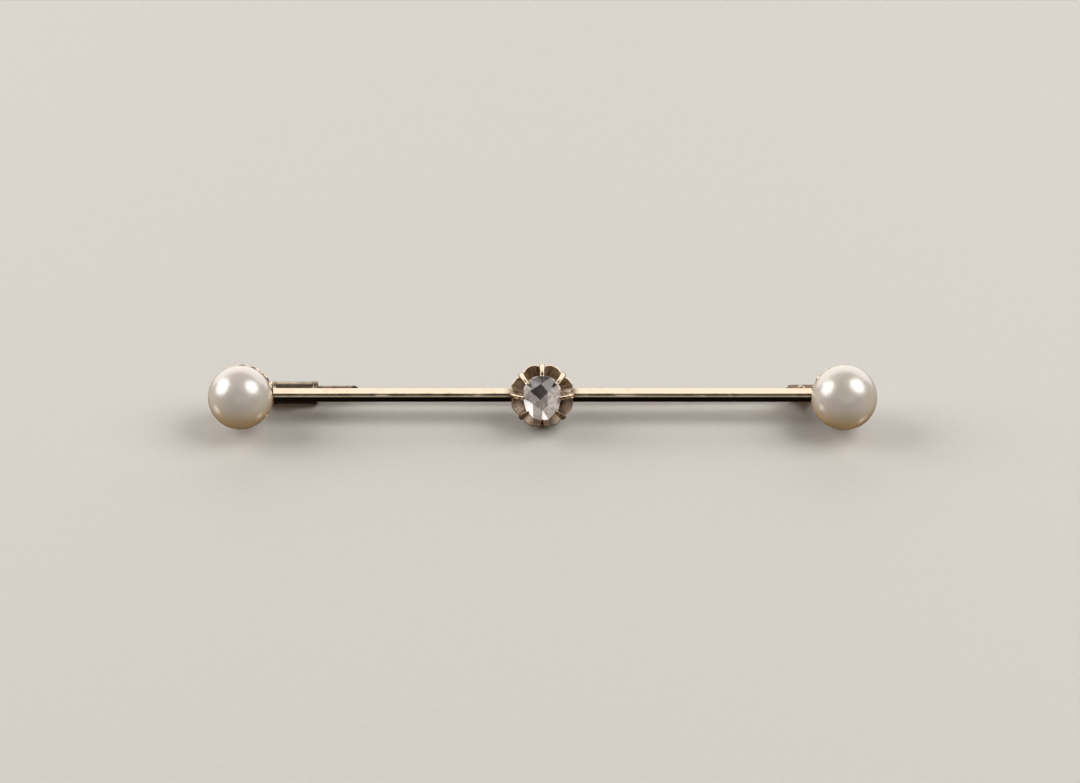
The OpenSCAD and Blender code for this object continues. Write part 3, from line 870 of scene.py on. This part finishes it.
def buildCup(side, sign):
    radius = pearls["radius"][side]
    seat = radius + 0.03
    pitch = 2 * math.pi / cup["lobes"]
    lowHeight, lowRadius = cup["lobeFoot"]
    slopeIn, slopeHeight = cup["chamfer"]
    edge = cup["edge"]
    middle = sign * pearls["out"]

    def outside(delta, z):
        out = cup["lobeOut"]
        r = lowRadius + (cup["crest"][side] - out - lowRadius) * (z - lowHeight) / (cup["rim"] - lowHeight)
        if z < lowHeight:   # the lobe's foot is rounded off
            r = lowRadius * math.sqrt(max(0.0, 1 - ((lowHeight - z) / 0.38) ** 2))
            out -= 0.35 * (lowHeight - z)
        inside = r ** 2 - (out * math.sin(delta)) ** 2
        core = coreRadius(z)
        if inside <= 0:
            return core
        return softMax(core, out * math.cos(delta) + math.sqrt(inside), 0.08)

    def sphere(z):
        return math.sqrt(max(0.0, seat ** 2 - (pearls["lift"] - z) ** 2))

    columns = cup["lobes"] * cup["columnsEach"]
    upright = []
    for k in range(columns):
        theta = 2 * math.pi * k / columns
        delta = theta % pitch - pitch / 2
        rim = cup["rim"] - cup["notch"] * (abs(delta) / (pitch / 2)) ** 2.4
        points = [(0.0, -0.6), (0.9, -0.6), (1.04, -0.6)] + [(outside(delta, z), z) for z in cup["heights"]]
        # the sheet turns up to a band, which is burnished in to a thin edge
        rOut = outside(delta, rim)
        last, low = points[-1], rim - slopeHeight
        points.append(((last[0] + rOut - 0.03) / 2, (last[1] + low - 0.06) / 2))
        points += [(rOut - 0.03, low - 0.06), (rOut - 0.006, low - 0.02), (rOut, low),
                   (rOut - 0.006, low + 0.012)]
        rTop = rOut - slopeIn
        points += [(rTop + 0.008, rim - edge), (rTop - edge / 2, rim - 0.004), (rTop - edge, rim),
                   (rTop - edge * 1.5, rim - 0.004)]
        # down the inside to the seat of the pearl
        rIn = rTop - edge * 2
        for i in range(6):
            z = rim - edge - 0.4 * i / 5
            points.append((max(rIn - 0.45 * (rim - edge - z), sphere(z) + 0.002), z))
        for r in (1.6, 1.1, 0.5, 0.0):
            points.append((r, pearls["lift"] - math.sqrt(seat ** 2 - r ** 2)))
        upright.append([(middle + r * math.cos(theta), r * math.sin(theta), z) for r, z in points])

    def grime(p):
        # painted shade in the creases between the lobes and inside the rim next to the pearl
        r, theta = math.hypot(p.x - middle, p.y), math.atan2(p.y, p.x - middle)
        delta = abs((theta % pitch) - pitch / 2) / (pitch / 2)
        flute = smooth(0.65, 1.0, delta) * smooth(-0.3, 0.2, p.z) * smooth(1.2, 1.05, p.z) * 0.75
        gap = smooth(0.1, 0.14, outside(delta * pitch / 2, cup["rim"]) - r) * (p.z > 0.9)
        return min(1.0, flute + 0.9 * gap)

    faces = gridFaces(len(upright[0]), columns)
    addGoldPiece("cup" + side, byRow(upright), faces, sharpAngle=35, grime=grime)

    # the peg that the pearl is glued on
    pegTop, full = pearls["lift"] - radius + 1.4, cup["pegRadius"]
    profile = [(-0.4, 0.0), (-0.4, full), (pegTop - 0.08, full), (pegTop - 0.02, 0.3), (pegTop, 0.2),
               (pegTop, 0.0)]
    verts, faces = spin(profile, lambda along, a, b: (middle + a, b, along), 24)
    addGoldPiece("peg" + side, verts, faces)


for side, sign in (("Left", -1), ("Right", 1)):
    buildCup(side, sign)
    buildPearl(side, sign)
print("pearls and cups built")


# the tube catch: a fixed tube on a waisted foot, and the tube that slides in it

catch = {
    "back": 2.68,
    "out": -24.4,
    "in": -20.4,
    "radius": 1.03,
    "lipRadius": 1.08,
    "bore": 0.68,
    "footLength": 3.1,
    "footWidth": 0.9,
    "waist": -1.2,        # depth of the foot's narrowest place
    "slideRadius": 0.64,
    "slideBore": 0.54,
    "slideIn": -16.6,     # the slanted mouth's furthest point
    "slant": 38,
    "knobRadius": 1.05,
    "knobLength": 1.6,
    "knobGap": 0.05,
    "knurls": 30,
    "knurlDepth": 0.035,
}


def atCatch(along, a, b):
    return along, a, b - catch["back"]


def buildCatchTube():
    c = catch
    r, lip, bore = c["radius"], c["lipRadius"], c["bore"]
    o, i = c["out"], c["in"]
    profile = [(o + 0.03, bore), (o, bore + 0.03), (o, 0.97), (o + 0.02, 1.03), (o + 0.06, 1.065),
               (o + 0.12, lip), (o + 0.18, 1.068), (o + 0.23, r + 0.005), (o + 0.27, r - 0.01),
               (o + 0.4, r - 0.01), ((o + i) / 2, r - 0.01), (i - 0.5, r - 0.01), (i - 0.4, r - 0.01),
               (i - 0.36, r), (i - 0.32, 1.06), (i - 0.25, 1.077), (i - 0.17, lip), (i - 0.1, 1.075),
               (i - 0.04, 1.05), (i - 0.005, 1.0), (i, 0.94), (i, bore + 0.05), (i - 0.04, bore),
               ((o + i) / 2, bore)]
    verts, faces = spin(profile, atCatch, 72, closed=True)

    def grime(p):
        # painted shade with some tarnish: the whole tube darker, more by the lips, inside the bore and on
        # its side towards the brooch's face
        fromLip = min(abs(p.x - (o + 0.28)), abs(p.x - (i - 0.4)))
        up = p.z + c["back"]
        tarnishAndShade = 0.62 + 0.3 * smooth(0.12, 0.0, fromLip) + 0.9 * (math.hypot(p.y, up) < 0.75)
        return min(1.0, tarnishAndShade + 0.2 * smooth(0.4, 0.7, up))

    addGoldPiece("catchTube", verts, faces, sharpAngle=40, grime=grime)

    # the foot: narrow at the waist, spreading again where it is soldered to the bar
    left, right = o, o + c["footLength"]
    outline = [(left, -c["back"] + 0.2)]
    outline += arc((left - 0.35, c["waist"]), 0.55, -50, 50, 10)
    outline += [(left, -0.42), (right, -0.42)]
    outline += arc((right + 0.15, c["waist"]), 0.62, 104, 256, 16)
    outline += [(right, -c["back"] + 0.2)]
    verts, faces = prism(outline, -c["footWidth"] / 2, c["footWidth"] / 2)
    # painted shade where the foot meets the bar and where it meets the tube
    addGoldPiece("catchFoot", verts, faces, sharpAngle=30, bevel=0.05, grime=lambda p: min(
        1.0, 0.7 * smooth(-0.75, -0.5, p.z) + 0.7 * smooth(-1.6, -1.85, p.z)))


def buildSlide():
    c = catch
    slope = math.tan(math.radians(c["slant"]))
    columns = 64
    knobIn = c["out"] - c["knobGap"]

    def slantEnd(z):
        return c["slideIn"] - slope * (z + c["slideRadius"])

    outer, bore = c["slideRadius"], c["slideBore"]
    # (x, or x back from the slanted end, radius, and whether it is from that end)
    rows = [(knobIn - 0.4, outer, False), (knobIn + 0.5, outer, False), (-22, outer, False),
            (-1.4, outer, True), (-0.06, outer, True), (-0.02, outer - 0.012, True),
            (0, outer - 0.035, True), (0, bore + 0.03, True), (-0.03, bore, True), (-1.2, bore, True),
            (knobIn + 1.2, bore, False), (knobIn, bore, False)]
    verts = []
    for x, r, fromEnd in rows:
        verts += [atCatch(x + slantEnd(b) if fromEnd else x, a, b) for a, b in ring(r, columns)]

    def wornAndShaded(p):
        # darkened all over: worn, duller metal where it runs in and out of the fixed tube, and painted
        # shade, darkest inside the bore and away from the slanted end
        if math.hypot(p.y, p.z + c["back"]) < 0.6:
            return 0.9
        return 0.8 + 0.1 * smooth(-17.8, -18.6, p.x)

    addGoldPiece("slideTube", verts, gridFaces(len(rows), columns), "slide", "catch_slide",
                 sharpAngle=35, grime=wornAndShaded)

    # the pull knob: a turned button with a milled edge and a slightly domed end
    full = c["knobRadius"]
    # (distance out from the fixed tube, radius)
    turned = [(0, 0.0), (0, full - 0.07), (0.02, full - 0.03), (0.06, full - 0.01), (0.16, full - 0.005),
              (0.2, full - 0.04), (0.25, full - 0.05), (0.29, full - 0.04), (0.32, full - 0.01),
              (0.36, full), (0.5, full), (0.8, full), (1.06, full), (1.12, full - 0.012), (1.18, 0.99),
              (1.22, 0.95), (1.28, 0.95), (1.33, 0.97), (1.4, 0.95), (1.48, 0.86), (1.54, 0.68),
              (1.58, 0.4), (c["knobLength"], 0.15), (c["knobLength"], 0.0)]
    columns = c["knurls"] * 6
    verts = []
    for out, radius in turned:
        along = knobIn - out
        milled = smooth(knobIn - 0.3, knobIn - 0.4, along) * smooth(knobIn - 1.14, knobIn - 1.04, along)
        for k in range(columns):
            a = 2 * math.pi * k / columns
            cut = c["knurlDepth"] * milled * (0.5 + 0.5 * math.cos(a * c["knurls"])) ** 2
            verts.append(atCatch(along, (radius - cut) * math.cos(a), (radius - cut) * math.sin(a)))

    def grime(p):
        # painted shade in the milled edge and in the two grooves
        along = knobIn - p.x
        r = math.hypot(p.y, p.z + c["back"])
        milling = smooth(full - 0.01, full - 0.03, r) * smooth(0.3, 0.36, along) * smooth(1.14, 1.08, along)
        groove = smooth(0.07, 0.0, abs(along - 1.25)) + smooth(0.07, 0.0, abs(along - 0.25))
        return min(1.0, 0.8 * milling + 0.7 * groove)

    addGoldPiece("pullKnob", verts, gridFaces(len(turned), columns), "slide", "catch_slide",
                 sharpAngle=50, grime=grime)


buildCatchTube()
buildSlide()
print("catch built")


# the hinge: two ears on a spreading foot, with a small arch next to the bar

hinge = {
    "x": rivetMiddle[0],
    "earLength": 2.55,
    "earBack": 3.7128,    # depth of the ears' ends, which lie on the table
    "earOut": 0.65,
    "slotHalf": 0.43,
    "slotDepth": rivetMiddle[2] + 0.84,
    "corner": 0.7,
    "archRadius": 0.36,
    "archDepth": 1.08,
    "rivetRadius": 0.25,
    "rivetEnd": 0.7,
}


def buildHinge():
    h = hinge
    left = h["x"] - h["earLength"] / 2 + 0.15
    right = left + h["earLength"]
    deep, slot, corner = -h["earBack"], h["slotDepth"], h["corner"]
    ears = [(left, slot)]
    ears += arc((left + corner, deep + corner), corner, 180, 270, 10)
    ears += arc((right - corner, deep + corner), corner, 270, 360, 10)
    ears += [(right + 0.06, slot)]
    archX = left + 1
    low = -0.48
    block = [(left, slot), (right + 0.06, slot), (right + 0.1, -1.78), (right + 0.16, -1.4),
             (right + 0.3, -1.0), (right + 0.48, -0.8), (right + 0.6, -0.74), (right + 0.6, low),
             (archX + h["archRadius"], low)]
    block += arc((archX, -h["archDepth"]), h["archRadius"], 0, -180, 16)
    block += [(archX - h["archRadius"], low), (left - 0.4, low), (left - 0.4, -0.54), (left - 0.24, -0.66),
              (left - 0.12, -0.86), (left - 0.03, -1.15), (left, -1.45)]
    verts, faces = prism(block, -h["earOut"], h["earOut"])

    def grime(p):
        # painted shade where the foot meets the bar, with dark solder there, and in the slot between the
        # ears
        solderAndShade = 0.75 * smooth(-0.72, -0.5, p.z)
        return min(1.0, solderAndShade + 0.6 * smooth(0.5, 0.36, abs(p.y)) * smooth(-1.9, -2.2, p.z))

    addGoldPiece("hingeFoot", verts, faces, sharpAngle=30, bevel=0.035, grime=grime)
    seam = [(left - 0.4, -0.3), (left - 0.4, low), (right + 0.6, low), (right + 0.6, -0.3)]
    verts, faces = prism(seam, -0.56, 0.56)
    # the seam darkened all over: solder, with painted shade where it lies under the foot
    addGoldPiece("hingeSolder", verts, faces, bevel=0.05, grime=lambda p: 0.7)
    for name, a, b in (("earUpper", h["slotHalf"], h["earOut"]), ("earLower", -h["earOut"], -h["slotHalf"])):
        verts, faces = prism(ears, a, b)
        addGoldPiece(name, verts, faces, sharpAngle=30, bevel=0.035, grime=grime)

    # the rivet, its ends lightly hammered over
    r, e = h["rivetRadius"], h["rivetEnd"]
    profile = [(-e, 0.0), (-e + 0.012, 0.09), (-e + 0.035, 0.17), (-e + 0.07, 0.225), (-e + 0.12, r), (0, r),
               (e - 0.12, r), (e - 0.07, 0.225), (e - 0.035, 0.17), (e - 0.012, 0.09), (e, 0.0)]
    verts, faces = spin(profile, lambda along, a, b: (h["x"] + a, along, b + rivetMiddle[2]), 40)
    # painted shade on the rivet's shank inside the ears
    addGoldPiece("rivet", verts, faces, node="hinge_rivet", sharpAngle=50,
                 grime=lambda p: 0.6 * smooth(0.66, 0.64, abs(p.y)))


buildHinge()
print("hinge built")


# the pin: a springy drawn wire, its end flattened to an eye and its point ground long

pin = {
    "radius": 0.38,
    "back": 2.56,        # depth of the straight part
    "bendFrom": 6.0,     # from here to the hinge the sprung wire curves away from the bar
    "bendRadius": 400.0,
    "taperFrom": -16.5,
    "tip": -19.7,
    "tipRadius": 0.1,
    "eyeRadius": 0.72,
    "eyeHalf": 0.4,
    "eyeSwell": 0.16,    # how much deeper the wire gets where it joins the eye
    "holeRadius": 0.28,
}


def buildPin():
    p = pin
    tip, tipRadius, full, deep = p["tip"], p["tipRadius"], p["radius"], -p["back"]
    hingeX, _, hingeZ = rivetMiddle
    stations = [(tip, deep, 0.0, 0.0)]      # (x, depth, radius across, radius in depth)
    for i in range(1, 6):
        a = math.pi / 2 * i / 5
        r = tipRadius * math.sin(a)
        stations.append((tip + tipRadius * (1 - math.cos(a)), deep, r, r))
    steps = 26
    taper = p["taperFrom"] - tip - tipRadius
    for i in range(1, steps + 1):
        r = tipRadius + (full - tipRadius) * (i / steps)
        stations.append((tip + tipRadius + taper * (i / steps), deep, r, r))
    for i in range(1, 31):
        x = p["taperFrom"] + (p["bendFrom"] - p["taperFrom"]) * i / 30
        stations.append((x, deep, full, full))
    sweep = math.asin((hingeX - p["bendFrom"]) / p["bendRadius"])
    for i in range(1, 37):
        a = sweep * i / 36
        x = p["bendFrom"] + p["bendRadius"] * math.sin(a)
        swell = p["eyeSwell"] * smooth(hingeX - 1.9, hingeX - 0.7, x)
        stations.append((x, deep - p["bendRadius"] * (1 - math.cos(a)), full, full + swell))
        if x > hingeX - 0.45:
            break
    columns = 28
    verts = [(x, rY * a, z + rZ * b) for x, z, rY, rZ in stations for a, b in ring(1.0, columns)]
    faces = gridFaces(len(stations), columns) + endCaps(len(stations), columns)[1:]
    # painted shade on the stem towards the hinge
    addGoldPiece("pinStem", verts, faces, "pin", "pin_stem", sharpAngle=50,
                 grime=lambda q: 0.35 * smooth(20.5, 22.6, q.x))

    r, hole, half = p["eyeRadius"], p["holeRadius"], p["eyeHalf"]
    profile = [(-half, hole + 0.03), (-half, r - 0.07), (-half + 0.02, r - 0.02), (-half + 0.07, r),
               (half - 0.07, r), (half - 0.02, r - 0.02), (half, r - 0.07), (half, hole + 0.03),
               (half - 0.03, hole), (-half + 0.03, hole)]
    verts, faces = spin(profile, lambda along, a, b: (hingeX + a, along, b + hingeZ), 56, closed=True)
    # painted shade over the whole eye, which sits between the ears
    addGoldPiece("pinEye", verts, faces, "pin", "pin_stem", sharpAngle=40, grime=lambda q: 0.3)


buildPin()
print("pin built")
